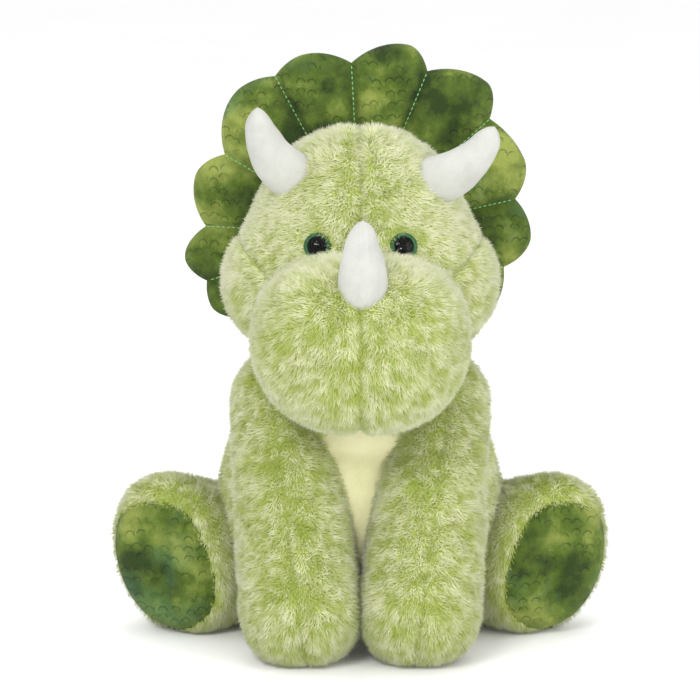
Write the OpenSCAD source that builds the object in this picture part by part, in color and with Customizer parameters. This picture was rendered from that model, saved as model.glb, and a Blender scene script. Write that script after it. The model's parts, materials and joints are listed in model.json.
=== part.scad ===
// Sitting stuffed dinosaur: plush panels over polyester stuffing, a scalloped
// collar frill, three soft horns and safety eyes.
// +Z is up, the face looks along -Y, and the origin is the middle of the flat seat.
// "Left" is the toy's own left, which is the +X side.

/* [Head] */
// Width of the head across the cheeks
head_w = 158; // [135:1:185]
// Reach of the forehead in front of the head's middle
head_front = 60; // [48:1:72]
// Reach of the back of the head behind its middle
head_back = 58; // [46:1:70]
// Height of the crown above the cheeks
head_up = 91; // [76:1:105]
// Depth of the head below the cheeks
head_down = 49; // [44:1:54]
// Height of the cheeks above the seat
head_z = 212; // [205:1:235]

/* [Muzzle] */
// Width of the muzzle
muzzle_w = 118; // [100:1:130]
// Length of the muzzle's front, from its widest place
muzzle_front = 56; // [46:1:66]
// Height of the muzzle above its widest place
muzzle_up = 50; // [42:1:54]
// Depth of the muzzle below its widest place
muzzle_down = 45; // [39:1:47]
// How far the muzzle's widest place lies below the cheeks
muzzle_drop = 28; // [22:1:32]
// How far the muzzle's widest place lies in front of the head's middle
muzzle_reach = 64; // [54:1:74]

/* [Frill] */
// Radius of the frill to the tips of its scallops
frill_r = 111; // [100:1:122]
// Depth of the notches between the scallops
scallop_depth = 12; // [7:1:15]
// Thickness of the stuffed frill at the middle of a scallop
frill_t = 14; // [10:1:18]
// Number of scallops
scallops = 10; // [8:2:12]
// Angle that each scallop spans
scallop_angle = 25; // [22:0.5:27]
// Height of the frill's centre above the cheeks
frill_rise = 27; // [18:1:34]
// How far the frill leans back for each unit of its radius
frill_lean = 0.22; // [0:0.02:0.4]

/* [Horns] */
// Length of a brow horn
brow_horn_len = 52; // [44:1:60]
// Diameter of a brow horn at its base
brow_horn_d = 30; // [26:1:37]
// Length of the nose horn
nose_horn_len = 50; // [38:1:60]
// Diameter of the nose horn at its base
nose_horn_d = 30; // [24:1:34]

/* [Eyes] */
// Diameter of a safety eye
eye_d = 16; // [12:1:18]
// Distance between the middles of the eyes
eye_spacing = 49; // [42:1:58]
// Height of the eyes above the cheeks
eye_rise = 29; // [26:1:36]

/* [Torso] */
// Width of the torso at the hips
torso_w = 168; // [152:1:178]
// Reach of the belly in front of the torso's middle
torso_front = 50; // [44:1:56]
// Reach of the back behind the torso's middle
torso_back = 66; // [58:1:74]
// Height of the torso
torso_h = 180; // [165:1:188]
// Width of the belly panel
belly_w = 84; // [60:1:100]
// Radius of the round neck that the head sits on
neck_r = 55; // [48:1:58]
// Diameter of the flat seat panel
seat_d = 60; // [44:1:62]

/* [Arms] */
// Radius of an arm at the shoulder
shoulder_r = 27; // [23:0.5:29]
// Radius of a paw
paw_r = 32; // [28:0.5:34]
// Distance of each shoulder from the middle
shoulder_x = 49; // [45:0.5:54]
// Distance between the two paws
paw_gap = 3; // [2:0.5:12]
// How far the paws stand in front of the shoulders
paw_reach = 62; // [58:1:72]

/* [Legs] */
// Radius of a thigh at the hip
hip_r = 36; // [31:0.5:38]
// Width of a foot across its sole
foot_w = 74; // [68:1:78]
// Length of a foot from heel to toe
foot_h = 94; // [86:1:98]
// Length of a leg from the hip to the sole
leg_len = 70; // [64:1:80]
// Angle at which the legs point outwards
leg_angle = 42; // [36:1:48]
// Angle at which the soles face outwards
sole_angle = 18; // [10:1:26]
// Angle by which the toes lean outwards
sole_roll = 20; // [0:1:35]
// Width of the sole pad
pad_w = 62; // [50:1:64]
// Length of the sole pad
pad_h = 76; // [64:1:80]

/* [Tail] */
// Radius of the tail at its root
tail_root_r = 25; // [20:0.5:27]
// Radius of the tail's tip
tail_tip_r = 9; // [7:0.5:12]
// Length of the tail from root to tip
tail_len = 80; // [60:1:100]

/* [Fabric] */
// Thickness of the plush and its pile roots
fabric_t = 2.5; // [1.5:0.1:3.5]

/* [Hidden] */
big = 600;              // larger than the whole toy
gap = 0.8;              // clearance between pieces that move apart
arm_gap = 2.4;          // clearance between an arm and the belly that it swings past
seam_gap = 0.2;         // clearance between pieces of one body
fill_gap = 0.3;         // clearance between a cover and its stuffing
grain = 24;             // points around a large rounded form

// Places of the main forms
head_at = [0, -6, head_z];
muzzle_at = head_at + [0, -muzzle_reach, -muzzle_drop];
torso_widest = 66;      // height of the hips' widest place
torso_at = [0, 2, torso_widest];
neck_at = [0, 2, 138];
neck_pad = 3;           // thickness of the wad between neck and head
shoulder_y = -10;
shoulder_z = 137;
paw_sunk = 3;           // how deep the floor flattens a paw
paw_x = paw_r + paw_gap / 2;
paw_z = paw_r - paw_sunk;
hip_x = 64;
hip_y = 33;
hip_z = 39;
foot_edge = 15;         // rounding of the foot's rim
foot_lift = 2;          // height of the foot's rim above the floor
pad_shift = [0, 4, -5]; // how far the sole pad sits out and down from the foot's middle
tail_y = 64;            // middle of the tail's root
bag_d = 56;             // pellet bag in the seat
bag_h = 16;
thin_t = 1.2;           // thickness of the velour on horns and frill

// Radii of the rounded forms: side, front, back, up, down
head_r = [head_w / 2, head_front, head_back, head_up, head_down];
muzzle_r = [muzzle_w / 2, muzzle_front, muzzle_front, muzzle_up, muzzle_down];
torso_r = [torso_w / 2, torso_front, torso_back, torso_h - torso_widest,
    torso_widest + 24];

// ---- Rounded forms -------------------------------------------------------

// A point of a rounded form that has its own radius towards each side
function egg_point(r, lon, lat) = [
    r[0] * cos(lat) * cos(lon),
    (lon > 180 ? r[1] : r[2]) * cos(lat) * sin(lon),
    (lat > 0 ? r[3] : r[4]) * sin(lat)];

// The surface's depth in front of the middle, at a place across and up
function egg_front(r, x, z) =
    r[1] * sqrt(max(0, 1 - pow(x / r[0], 2) - pow(z / (z > 0 ? r[3] : r[4]), 2)));

// The outward direction of the front surface at that place
function egg_normal(r, x, z) =
    let (up = z > 0 ? r[3] : r[4],
         n = [x / pow(r[0], 2), -egg_front(r, x, z) / pow(r[1], 2), z / pow(up, 2)])
    n / norm(n);

module egg(r, inset = 0, n = grain) {
    s = [for (v = r) v - inset];
    rows = n / 2 - 1;
    points = concat(
        [[0, 0, -s[4]]],
        [for (i = [1:rows], j = [0:n - 1]) egg_point(s, 360 * j / n, -90 + 180 * i / (rows + 1))],
        [[0, 0, s[3]]]);
    top = len(points) - 1;
    faces = concat(
        [for (j = [0:n - 1]) [0, 1 + j, 1 + (j + 1) % n]],
        [for (i = [0:rows - 2], j = [0:n - 1])
            let (a = 1 + i * n, b = a + n, k = (j + 1) % n) [a + j, b + j, b + k, a + k]],
        [for (j = [0:n - 1]) [top, top - n + (j + 1) % n, top - n + j]]);
    polyhedron(points, faces);
}

// Everything on one side of a seam's plane, towards +X or -X, with the seam's gap
module side_of(sign) {
    edge = sign * seam_gap / 2;
    translate([sign > 0 ? -edge : -big - edge, -big, -big]) cube([big, 2 * big, 2 * big]);
}

// Everything under a level
module under(level) {
    translate([-big, -big, level - big]) cube([2 * big, 2 * big, big]);
}

// ---- Head and muzzle -----------------------------------------------------

module head_form(inset = 0) {
    difference() {
        union() {
            translate(head_at) egg(head_r, inset);
            translate(muzzle_at) egg(muzzle_r, inset);
        }
        translate(neck_at) sphere(neck_r + neck_pad + 2 * gap + inset, $fn = 48);
        eye_shafts();
    }
}

module head_skin() {
    difference() {
        head_form();
        head_form(fabric_t);
    }
}

seam_y = head_at[1] + 22;  // the seam that the frill is sewn into

module head_panel(sign) {
    color("#bfc993") difference() {
        head_skin();
        translate(muzzle_at) egg(muzzle_r, -seam_gap);
        side_of(-sign);
        translate([-big, seam_y, -big]) cube(2 * big);
    }
}

module head_back_panel() {
    color("#b4c084") difference() {
        head_skin();
        translate([-big, seam_y + seam_gap - 2 * big, -big]) cube(2 * big);
    }
}

module muzzle_panel(sign) {
    color("#bdc791") difference() {
        intersection() {
            head_skin();
            translate(muzzle_at) egg(muzzle_r);
        }
        side_of(-sign);
    }
}

module head_stuffing() {
    color("white") difference() {
        head_form(fabric_t + fill_gap);
        for (sign = [-1, 1]) at_eye(sign) {
            translate([0, 0, washer_z - 0.5]) cylinder(d = washer_d + 1, h = washer_t + 4);
            translate([0, 0, -eye_stem_len - 1]) cylinder(d = stem_d + 1, h = eye_stem_len);
        }
    }
}

// ---- Neck ----------------------------------------------------------------

// The wad of stuffing between neck and head, a cap around the neck's round top
module neck_stuffing() {
    color("white") translate(neck_at) intersection() {
        difference() {
            sphere(neck_r + gap + neck_pad, $fn = 64);
            sphere(neck_r + gap, $fn = 64);
        }
        translate([0, 0, neck_r * 0.8]) cylinder(r = neck_r, h = neck_r);
    }
}

// ---- Safety eyes ---------------------------------------------------------

stem_d = 4.4;
eye_stem_len = 15;
washer_d = 13;
washer_t = 1.6;
washer_z = -fabric_t - washer_t - 1.2;  // its back, under the skin's curve
eye_base_t = 1.6;
iris_t = 0.4;
pupil_t = 0.3;
pupil_d = eye_d * 0.7;
dome_h = eye_d * 0.3;

eye_x = eye_spacing / 2;
eye_y = egg_front(head_r, eye_x, eye_rise);
eye_dir = egg_normal(head_r, eye_x, eye_rise);
eye_tilt = acos(eye_dir[2]);
eye_turn = atan2(eye_dir[1], eye_dir[0]);

// Puts a piece on the head's surface, its own +Z pointing out of the head
module at_eye(sign) {
    mirror([sign < 0 ? 1 : 0, 0, 0])
        translate(head_at + [eye_x, -eye_y, eye_rise])
            rotate([0, 0, eye_turn]) rotate([0, eye_tilt, 0]) children();
}

module eye_shafts() {
    for (sign = [-1, 1]) at_eye(sign)
        translate([0, 0, -20]) cylinder(d = stem_d + 0.4, h = 40);
}

module eye_stem(sign) {
    color("#141414") at_eye(sign) {
        translate([0, 0, seam_gap]) cylinder(d = eye_d, h = eye_base_t);
        translate([0, 0, -eye_stem_len]) cylinder(d = stem_d, h = eye_stem_len + 1);
    }
}

module eye_iris(sign) {
    color("#2f8a4a") at_eye(sign) translate([0, 0, seam_gap + eye_base_t])
        cylinder(d = eye_d, h = iris_t);
}

module eye_pupil(sign) {
    color("#0a0a0a") at_eye(sign) translate([0, 0, seam_gap + eye_base_t + iris_t])
        cylinder(d = pupil_d, h = pupil_t);
}

module eye_lens(sign) {
    ball = (pow(eye_d / 2, 2) + pow(dome_h, 2)) / (2 * dome_h);
    color([0.8, 0.95, 0.85, 0.4]) at_eye(sign)
        translate([0, 0, seam_gap + eye_base_t + iris_t]) difference() {
            intersection() {
                translate([0, 0, dome_h - ball]) sphere(ball, $fn = 96);
                cylinder(d = eye_d, h = dome_h + 1);
            }
            translate([0, 0, -1]) cylinder(d = pupil_d + 0.1, h = 1 + pupil_t + 0.05);
        }
}

module eye_washer(sign) {
    color("#e8e8e0") at_eye(sign) translate([0, 0, washer_z])
        difference() {
            cylinder(d = washer_d, h = washer_t);
            translate([0, 0, -1]) cylinder(d = stem_d + 0.1, h = washer_t + 2);
        }
}

// ---- Frill ---------------------------------------------------------------

frill_at = head_at + [0, 24, frill_rise];
frill_span = scallops * scallop_angle;
frill_root = head_w * 0.36;

// A place on the frill, by its angle from straight up and its radius
function on_frill(angle, r) =
    [r * sin(angle), frill_lean * (r - frill_root), r * cos(angle)];

function notch_angle(i) = (i - scallops / 2) * scallop_angle;

module bead(angle, r, size) {
    translate(on_frill(angle, r)) sphere(size, $fn = 8);
}

// One stuffed scallop, pinched along the stitched channels at both sides
module scallop(i, inset) {
    middle = notch_angle(i) + scallop_angle / 2;
    edge = scallop_angle / 2 - 1.2;
    thin = 3.4 - inset;
    full = frill_t / 2 - inset;
    tip = frill_r - frill_t * 0.3;
    hull() {
        for (side = [-1, 1]) {
            bead(middle + side * edge, frill_root, thin);
            bead(middle + side * edge, tip - scallop_depth, thin);
            bead(middle + side * edge * 0.5, tip - 3, thin);
        }
        bead(middle, tip - 22, full);
        bead(middle, frill_root + 10, full);
    }
}

module frill_form(inset = 0) {
    translate(frill_at) for (i = [0:scallops - 1]) scallop(i, inset);
}

module frill_cover() {
    difference() {
        frill_form();
        frill_form(thin_t);
        translate(head_at) egg(head_r, -seam_gap);
    }
}

// The space behind the frill's middle surface, which is a cone leaning back
module behind_frill() {
    reach = 150;
    translate(frill_at - [0, frill_lean * frill_root, 0]) rotate([-90, 0, 0])
        cylinder(r1 = 0, r2 = reach / max(frill_lean, 0.01), h = reach, $fn = 64);
}

module frill_front_panel() {
    color("#6f8a34") difference() {
        frill_cover();
        behind_frill();
    }
}

module frill_back_panel() {
    color("#5f7a30") intersection() {
        frill_cover();
        behind_frill();
    }
}

module frill_wadding() {
    color("white") difference() {
        frill_form(thin_t + fill_gap);
        translate(head_at) egg(head_r, -fill_gap);
    }
}

// ---- Horns ---------------------------------------------------------------

// A soft curved horn of four rounds along its own +Z, bending towards +X
module horn(len, d, bend, inset = 0) {
    function at(t) = [bend * t * t, 0, len * t];
    function size(t) = d / 2 * (1 - 0.72 * pow(t, 2)) - inset;
    steps = 3;
    for (i = [0:steps - 1]) hull() {
        translate(at(i / steps)) sphere(size(i / steps), $fn = 16);
        translate(at((i + 1) / steps)) sphere(size((i + 1) / steps), $fn = 16);
    }
}

module at_brow_horn(sign) {
    mirror([sign < 0 ? 1 : 0, 0, 0])
        translate(head_at + [0.42 * head_r[0], -0.27 * head_front, 0.66 * head_up])
            rotate([0, 0, -28]) rotate([0, 38, 0]) children();
}

module at_nose_horn() {
    translate(muzzle_at + [0, -0.55 * muzzle_front, 0.52 * muzzle_up])
        rotate([12, 0, 0]) children();
}

module brow_horn_cover(sign) {
    color("#ecece4") difference() {
        at_brow_horn(sign) horn(brow_horn_len, brow_horn_d, 8);
        at_brow_horn(sign) horn(brow_horn_len, brow_horn_d, 8, thin_t);
        translate(head_at) egg(head_r, -seam_gap);
    }
}

module brow_horn_stuffing(sign) {
    color("white") difference() {
        at_brow_horn(sign) horn(brow_horn_len, brow_horn_d, 8, thin_t + fill_gap);
        translate(head_at) egg(head_r, -seam_gap - fill_gap);
    }
}

module nose_horn_cover() {
    color("#ecece4") difference() {
        at_nose_horn() horn(nose_horn_len, nose_horn_d, 0);
        at_nose_horn() horn(nose_horn_len, nose_horn_d, 0, thin_t);
        translate(muzzle_at) egg(muzzle_r, -seam_gap);
    }
}

module nose_horn_stuffing() {
    color("white") difference() {
        at_nose_horn() horn(nose_horn_len, nose_horn_d, 0, thin_t + fill_gap);
        translate(muzzle_at) egg(muzzle_r, -seam_gap - fill_gap);
    }
}

// ---- Arms ----------------------------------------------------------------

module shoulder_ball(sign, extra = 0) {
    translate([sign * shoulder_x, shoulder_y, shoulder_z])
        sphere(shoulder_r + extra, $fn = 32);
}

module arm_form(inset = 0) {
    difference() {
        hull() {
            shoulder_ball(1, -inset);
            translate([paw_x, shoulder_y - paw_reach, paw_z])
                sphere(paw_r - inset, $fn = 28);
        }
        under(inset);
        difference() {
            torso_blob(-arm_gap - inset);
            shoulder_ball(1, gap / 2 - inset);
        }
    }
}

// Half of the arm's cover: the two halves are sewn along the arm's middle plane
module arm_panel(outer) {
    lean = atan2(shoulder_x - paw_x, shoulder_z - paw_z);
    color(outer ? "#aeb96f" : "#b4bf78") difference() {
        arm_form();
        arm_form(fabric_t);
        translate([shoulder_x, 0, shoulder_z]) rotate([0, lean, 0])
            side_of(outer ? -1 : 1);
    }
}

module arm_stuffing() {
    color("white") arm_form(fabric_t + fill_gap);
}

// ---- Legs ----------------------------------------------------------------

module hip_ball(sign, extra = 0) {
    translate([sign * hip_x, hip_y, hip_z]) sphere(hip_r + extra, $fn = 32);
}

// Puts a piece at the middle of the left sole, its own +X pointing out of the sole
// Half the foot's height as it stands, with its toes leaning outwards
foot_rise = foot_edge + norm([(foot_h / 2 - foot_edge) * cos(sole_roll),
    (foot_w / 2 - foot_edge) * sin(sole_roll)]);

// The middle of the left sole: +X out of it, +Y outwards across it
module at_sole(shift = [0, 0, 0]) {
    translate([hip_x + leg_len * sin(leg_angle), hip_y - leg_len * cos(leg_angle),
            foot_lift + foot_rise])
        rotate([0, 0, sole_angle - 90]) translate(shift) rotate([-sole_roll, 0, 0])
            children();
}

module foot_rim(inset) {
    beads = 12;
    size = foot_edge - inset;
    for (i = [0:beads - 1]) {
        a = 360 * i / beads;
        translate([-foot_edge, (foot_w / 2 - foot_edge) * cos(a),
                (foot_h / 2 - foot_edge) * sin(a)]) sphere(size, $fn = 12);
    }
}

module leg_form(inset = 0) {
    difference() {
        hull() {
            hip_ball(1, -inset);
            at_sole() foot_rim(inset);
        }
        difference() {
            torso_blob(-gap - inset);
            hip_ball(1, gap / 2 - inset);
        }
    }
}

module leg_skin() {
    difference() {
        leg_form();
        leg_form(fabric_t);
    }
}

// The space in front of and behind the sole pad, a flat oval prism
module sole_prism(extra = 0) {
    w = pad_w / 2 + extra;
    h = pad_h / 2 + extra;
    at_sole(pad_shift) rotate([0, 90, 0]) translate([0, 0, -12])
        linear_extrude(30) polygon([for (i = [0:31])
            [h * cos(360 * i / 32), w * sin(360 * i / 32)]]);
}

module leg_sole_pad() {
    color("#66803a") intersection() {
        leg_skin();
        sole_prism();
    }
}

// Half of the leg's cover: the two halves are sewn along its top and underside
module leg_panel(outer) {
    color(outer ? "#aeb96f" : "#b4bf78") difference() {
        leg_skin();
        sole_prism(seam_gap);
        translate([hip_x, hip_y, 0]) rotate([0, 0, leg_angle])
            side_of(outer ? -1 : 1);
    }
}

module leg_stuffing() {
    color("white") leg_form(fabric_t + fill_gap);
}

// ---- Tail ----------------------------------------------------------------

module tail_ball(extra = 0) {
    translate([0, tail_y, tail_root_r + 2]) sphere(tail_root_r + extra, $fn = 32);
}

module tail_form(inset = 0) {
    hull() {
        tail_ball(-inset);
        translate([0, tail_y + tail_len - tail_tip_r, tail_tip_r + 1])
            sphere(tail_tip_r - inset, $fn = 16);
    }
}

module tail_panel(sign) {
    color("#aab56e") difference() {
        tail_form();
        tail_form(fabric_t);
        side_of(-sign);
    }
}

module tail_stuffing() {
    color("white") tail_form(fabric_t + fill_gap);
}

// ---- Torso ---------------------------------------------------------------

module torso_blob(inset = 0) {
    translate(torso_at) egg(torso_r, inset);
    translate(neck_at) sphere(neck_r - inset, $fn = 32);
}

module torso_form(inset = 0) {
    difference() {
        torso_blob(inset);
        under(inset);
        for (sign = [-1, 1]) {
            shoulder_ball(sign, gap + inset);
            hip_ball(sign, gap + inset);
        }
        tail_ball(gap + inset);
    }
}

module torso_skin() {
    difference() {
        torso_form();
        torso_form(fabric_t);
    }
}

// The part of the torso's front that the belly panel covers, an upright oval
module belly_region(extra = 0) {
    half_w = belly_w / 2 + extra;
    half_h = 62 + extra;
    difference() {
        translate([0, torso_at[1], 74]) rotate([90, 0, 0]) linear_extrude(150)
            polygon([for (i = [0:31])
                [half_w * cos(360 * (i + 0.5) / 32), half_h * sin(360 * (i + 0.5) / 32)]]);
        torso_blob(fabric_t + 1);
        for (sign = [-1, 1]) {
            shoulder_ball(sign, gap + fabric_t + 1 - extra);
            hip_ball(sign, gap + fabric_t + 1 - extra);
        }
    }
}

module back_panel() {
    color("#b0bb74") difference() {
        torso_skin();
        belly_region(seam_gap);
        cylinder(d = seat_d + 2 * seam_gap, h = 2 * (fabric_t + 0.1), center = true);
        side_of(-1);
    }
}

module belly_panel() {
    color("#dcdca4") intersection() {
        torso_skin();
        belly_region();
    }
}

// The flat panel that the toy sits on
module seat_panel() {
    color("#aab56e") cylinder(d = seat_d, h = fabric_t, $fn = 64);
}

module seat_pellet_bag() {
    color("#d9d4c4") translate([0, 6, fabric_t + 2 * fill_gap])
        cylinder(r1 = bag_d / 2, r2 = bag_d / 2 - 8, h = bag_h, $fn = 48);
}

module body_stuffing() {
    color("white") difference() {
        torso_form(fabric_t + fill_gap);
        translate([0, 6, 0]) cylinder(r1 = bag_d / 2 + 1.5, r2 = bag_d / 2 - 7,
            h = bag_h + fabric_t + 3 * fill_gap, $fn = 48);
    }
}

// ---- Dispatch ------------------------------------------------------------

head_panel(1);  // head_left_panel
head_panel(-1);  // head_right_panel
head_back_panel();
muzzle_panel(1);  // muzzle_left_panel
muzzle_panel(-1);  // muzzle_right_panel
head_stuffing();
frill_front_panel();
frill_back_panel();
frill_wadding();
brow_horn_cover(1);  // brow_horn_left_cover
brow_horn_stuffing(1);  // brow_horn_left_stuffing
brow_horn_cover(-1);  // brow_horn_right_cover
brow_horn_stuffing(-1);  // brow_horn_right_stuffing
nose_horn_cover();
nose_horn_stuffing();
eye_lens(1);  // eye_left_lens
eye_pupil(1);  // eye_left_pupil
eye_iris(1);  // eye_left_iris
eye_stem(1);  // eye_left_stem
eye_washer(1);  // eye_left_washer
eye_lens(-1);  // eye_right_lens
eye_pupil(-1);  // eye_right_pupil
eye_iris(-1);  // eye_right_iris
eye_stem(-1);  // eye_right_stem
eye_washer(-1);  // eye_right_washer
neck_stuffing();
back_panel();  // back_left_panel
mirror([1, 0, 0]) back_panel();  // back_right_panel
belly_panel();
seat_panel();
body_stuffing();
seat_pellet_bag();
arm_panel(true);  // arm_left_outer_panel
arm_panel(false);  // arm_left_inner_panel
arm_stuffing();  // arm_left_stuffing
mirror([1, 0, 0]) arm_panel(true);  // arm_right_outer_panel
mirror([1, 0, 0]) arm_panel(false);  // arm_right_inner_panel
mirror([1, 0, 0]) arm_stuffing();  // arm_right_stuffing
leg_panel(true);  // leg_left_outer_panel
leg_panel(false);  // leg_left_inner_panel
leg_sole_pad();  // leg_left_sole_pad
leg_stuffing();  // leg_left_stuffing
mirror([1, 0, 0]) leg_panel(true);  // leg_right_outer_panel
mirror([1, 0, 0]) leg_panel(false);  // leg_right_inner_panel
mirror([1, 0, 0]) leg_sole_pad();  // leg_right_sole_pad
mirror([1, 0, 0]) leg_stuffing();  // leg_right_stuffing
tail_panel(1);  // tail_left_panel
tail_panel(-1);  // tail_right_panel
tail_stuffing();
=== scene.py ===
# %% [markdown]
# # A sitting stuffed dinosaur in plush
# The toy is sewn from long-pile plush, short-pile velour for the frill, belly, soles and
# horns, and has two domed safety eyes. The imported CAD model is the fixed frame: it says
# where every piece is and what it moves with. Everything here is in metres.

# %% Load the frame
import json
import math

import bpy
import bmesh
import numpy as np
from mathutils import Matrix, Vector
from mathutils.bvhtree import BVHTree


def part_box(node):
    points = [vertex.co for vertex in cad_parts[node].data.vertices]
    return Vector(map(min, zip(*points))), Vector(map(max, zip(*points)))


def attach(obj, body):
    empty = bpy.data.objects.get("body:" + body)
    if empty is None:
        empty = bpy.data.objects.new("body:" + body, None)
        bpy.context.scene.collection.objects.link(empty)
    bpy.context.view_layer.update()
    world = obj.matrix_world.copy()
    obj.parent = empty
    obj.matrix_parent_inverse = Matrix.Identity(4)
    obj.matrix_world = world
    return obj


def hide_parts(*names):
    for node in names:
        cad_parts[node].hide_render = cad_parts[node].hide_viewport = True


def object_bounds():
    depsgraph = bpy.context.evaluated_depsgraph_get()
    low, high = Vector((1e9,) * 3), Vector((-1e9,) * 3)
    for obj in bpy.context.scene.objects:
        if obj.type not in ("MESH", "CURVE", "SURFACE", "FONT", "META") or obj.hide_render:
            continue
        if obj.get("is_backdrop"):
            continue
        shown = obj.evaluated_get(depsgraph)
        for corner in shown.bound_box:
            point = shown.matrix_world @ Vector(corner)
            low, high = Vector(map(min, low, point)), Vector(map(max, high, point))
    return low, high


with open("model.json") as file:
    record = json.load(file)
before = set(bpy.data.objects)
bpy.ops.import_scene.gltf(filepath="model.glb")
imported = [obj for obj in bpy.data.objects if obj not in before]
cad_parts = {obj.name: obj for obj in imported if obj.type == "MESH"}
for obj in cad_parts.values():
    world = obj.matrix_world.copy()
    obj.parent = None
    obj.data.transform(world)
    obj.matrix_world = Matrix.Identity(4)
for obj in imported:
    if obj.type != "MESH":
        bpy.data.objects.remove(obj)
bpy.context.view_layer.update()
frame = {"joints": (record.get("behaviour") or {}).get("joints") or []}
scene = bpy.context.scene
joint_at = {j["name"]: Vector(j["pos_m"]) for j in frame["joints"]}

# %% [markdown]
# ## Camera, light and floor
# A long lens from a little above eye level keeps the toy's own proportions.
# Three large soft lamps and a pale world leave only a faint shadow under the toy.

# %% Set the camera
camera_data = bpy.data.cameras.new("camera")
camera = bpy.data.objects.new("camera", camera_data)
scene.collection.objects.link(camera)
scene.camera = camera
VIEW_ELEVATION = math.radians(10)
VIEW_DISTANCE = 2.0
VIEW_WIDTH = 0.415
view_target = Vector((-0.006, 0, 0.170))
back_to_camera = Vector((0, -math.cos(VIEW_ELEVATION), math.sin(VIEW_ELEVATION)))
camera.location = view_target + VIEW_DISTANCE * back_to_camera
camera.rotation_euler = back_to_camera.to_track_quat("Z", "Y").to_euler()
camera_data.sensor_width = 36
camera_data.lens = 36 * VIEW_DISTANCE / VIEW_WIDTH
camera_data.clip_end = 50
scene.view_settings.view_transform = "Standard"


# %% Set the lamps, the world and the floor
def lamp(name, place, aim, size, power):
    data = bpy.data.lights.new(name, "AREA")
    data.shape = "DISK"
    data.size = size
    data.energy = power
    obj = bpy.data.objects.new(name, data)
    obj.location = place
    obj.rotation_euler = (Vector(place) - Vector(aim)).to_track_quat("Z", "Y").to_euler()
    scene.collection.objects.link(obj)
    return obj


lamp("key", (-0.7, -1.7, 1.4), (0, 0, 0.2), 0.8, 19)
lamp("fill", (1.4, -1.4, 0.8), (0, 0, 0.2), 1.4, 11)
lamp("top", (0, 0.3, 1.9), (0, 0, 0.15), 1.2, 7)
lamp("catchlight", (0.06, -1.85, 0.42), (0, 0, 0.2), 0.22, 5)
world = bpy.data.worlds.new("studio")
scene.world = world
world.use_nodes = True
world.node_tree.nodes["Background"].inputs["Color"].default_value = (1, 1, 1, 1)
world.node_tree.nodes["Background"].inputs["Strength"].default_value = 1.0

bpy.ops.mesh.primitive_plane_add(size=12, location=(0, 0, 0))
floor = bpy.context.object
floor.name = "floor"
floor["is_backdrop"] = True


# %% [markdown]
# ## Small helpers
# An operator works on whatever is selected, so each step starts by deselecting all.
# Vertex moves that no operator gives are done on the whole coordinate array at once.

# %% Helpers for selecting, reading and writing meshes
def deselect():
    if bpy.context.object and bpy.context.object.mode != "OBJECT":
        bpy.ops.object.mode_set(mode="OBJECT")
    bpy.ops.object.select_all(action="DESELECT")


def only(obj):
    deselect()
    obj.select_set(True)
    bpy.context.view_layer.objects.active = obj
    return obj


def coords(obj):
    co = np.empty(len(obj.data.vertices) * 3)
    obj.data.vertices.foreach_get("co", co)
    return co.reshape(-1, 3)


def put(obj, co):
    obj.data.vertices.foreach_set("co", np.ascontiguousarray(co, np.float64).ravel())
    obj.data.update()


def normals_of(obj):
    n = np.empty(len(obj.data.vertices) * 3)
    obj.data.vertices.foreach_get("normal", n)
    return n.reshape(-1, 3)


def apply(obj, kind, **settings):
    """Adds a modifier, sets it, and applies it."""
    only(obj)
    modifier = obj.modifiers.new(kind.lower(), kind)
    for key, value in settings.items():
        setattr(modifier, key, value)
    bpy.ops.object.modifier_apply(modifier=modifier.name)


def smooth(obj):
    only(obj)
    bpy.ops.object.shade_smooth()
    return obj


def span(*nodes):
    """The box round some CAD nodes: its lowest and its highest corner."""
    corners = [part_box(n) for n in nodes]
    low = np.min([c[0] for c in corners], axis=0)
    high = np.max([c[1] for c in corners], axis=0)
    return Vector(low), Vector(high)


def unit(v):
    return v / np.maximum(np.linalg.norm(v, axis=-1, keepdims=True), 1e-12)


# %% [markdown]
# ## Random numbers that repeat
# Plush is never even: its pile clumps and its dye mottles. Noise on a lattice gives the
# same smooth random numbers at each run.

# %% Smooth lattice noise
def noise_at(p, cell, seed):
    """Numbers from 0 to 1 that change smoothly over about one cell."""
    q = p / cell + seed * 7.31
    i = np.floor(q).astype(np.int64)
    f = q - i
    f = f * f * (3 - 2 * f)
    total = np.zeros(len(p))
    for corner in range(8):
        d = np.array([corner & 1, corner >> 1 & 1, corner >> 2 & 1])
        k = i + d
        h = k[:, 0] * 73856093 ^ k[:, 1] * 19349663 ^ k[:, 2] * 83492791 ^ seed * 97531
        h = (h ^ h >> 13) * 1274126177 & 0xFFFFFFFF
        h = (h ^ h >> 15) & 0xFFFF
        total += np.prod(np.where(d, f, 1 - f), axis=1) * h / 65535
    return total


def noise_vector(p, cell, seed):
    return np.stack([noise_at(p, cell, seed + k) for k in (0, 101, 202)], 1) * 2 - 1


# %% [markdown]
# ## Rounded forms
# Every stuffed panel piece starts as a sphere whose halves are scaled by themselves, so
# that a head can be flatter behind than in front. Overlapping spheres are joined by a
# voxel remesh, and smoothing rounds the joins as cloth does.

# %% Make eggs and join them
def egg(name, centre, side, front, back, up, down, square=2.0):
    """A sphere with its own radius to each side; square above 2 makes it boxier."""
    deselect()
    bpy.ops.mesh.primitive_uv_sphere_add(segments=48, ring_count=32, radius=1)
    obj = bpy.context.object
    obj.name = name
    co = coords(obj)
    co /= (np.abs(co) ** square).sum(1, keepdims=True) ** (1 / square)
    reach = np.stack([np.full(len(co), side), np.where(co[:, 1] < 0, front, back),
                      np.where(co[:, 2] > 0, up, down)], 1)
    put(obj, co * reach + np.array(centre))
    return obj


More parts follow.
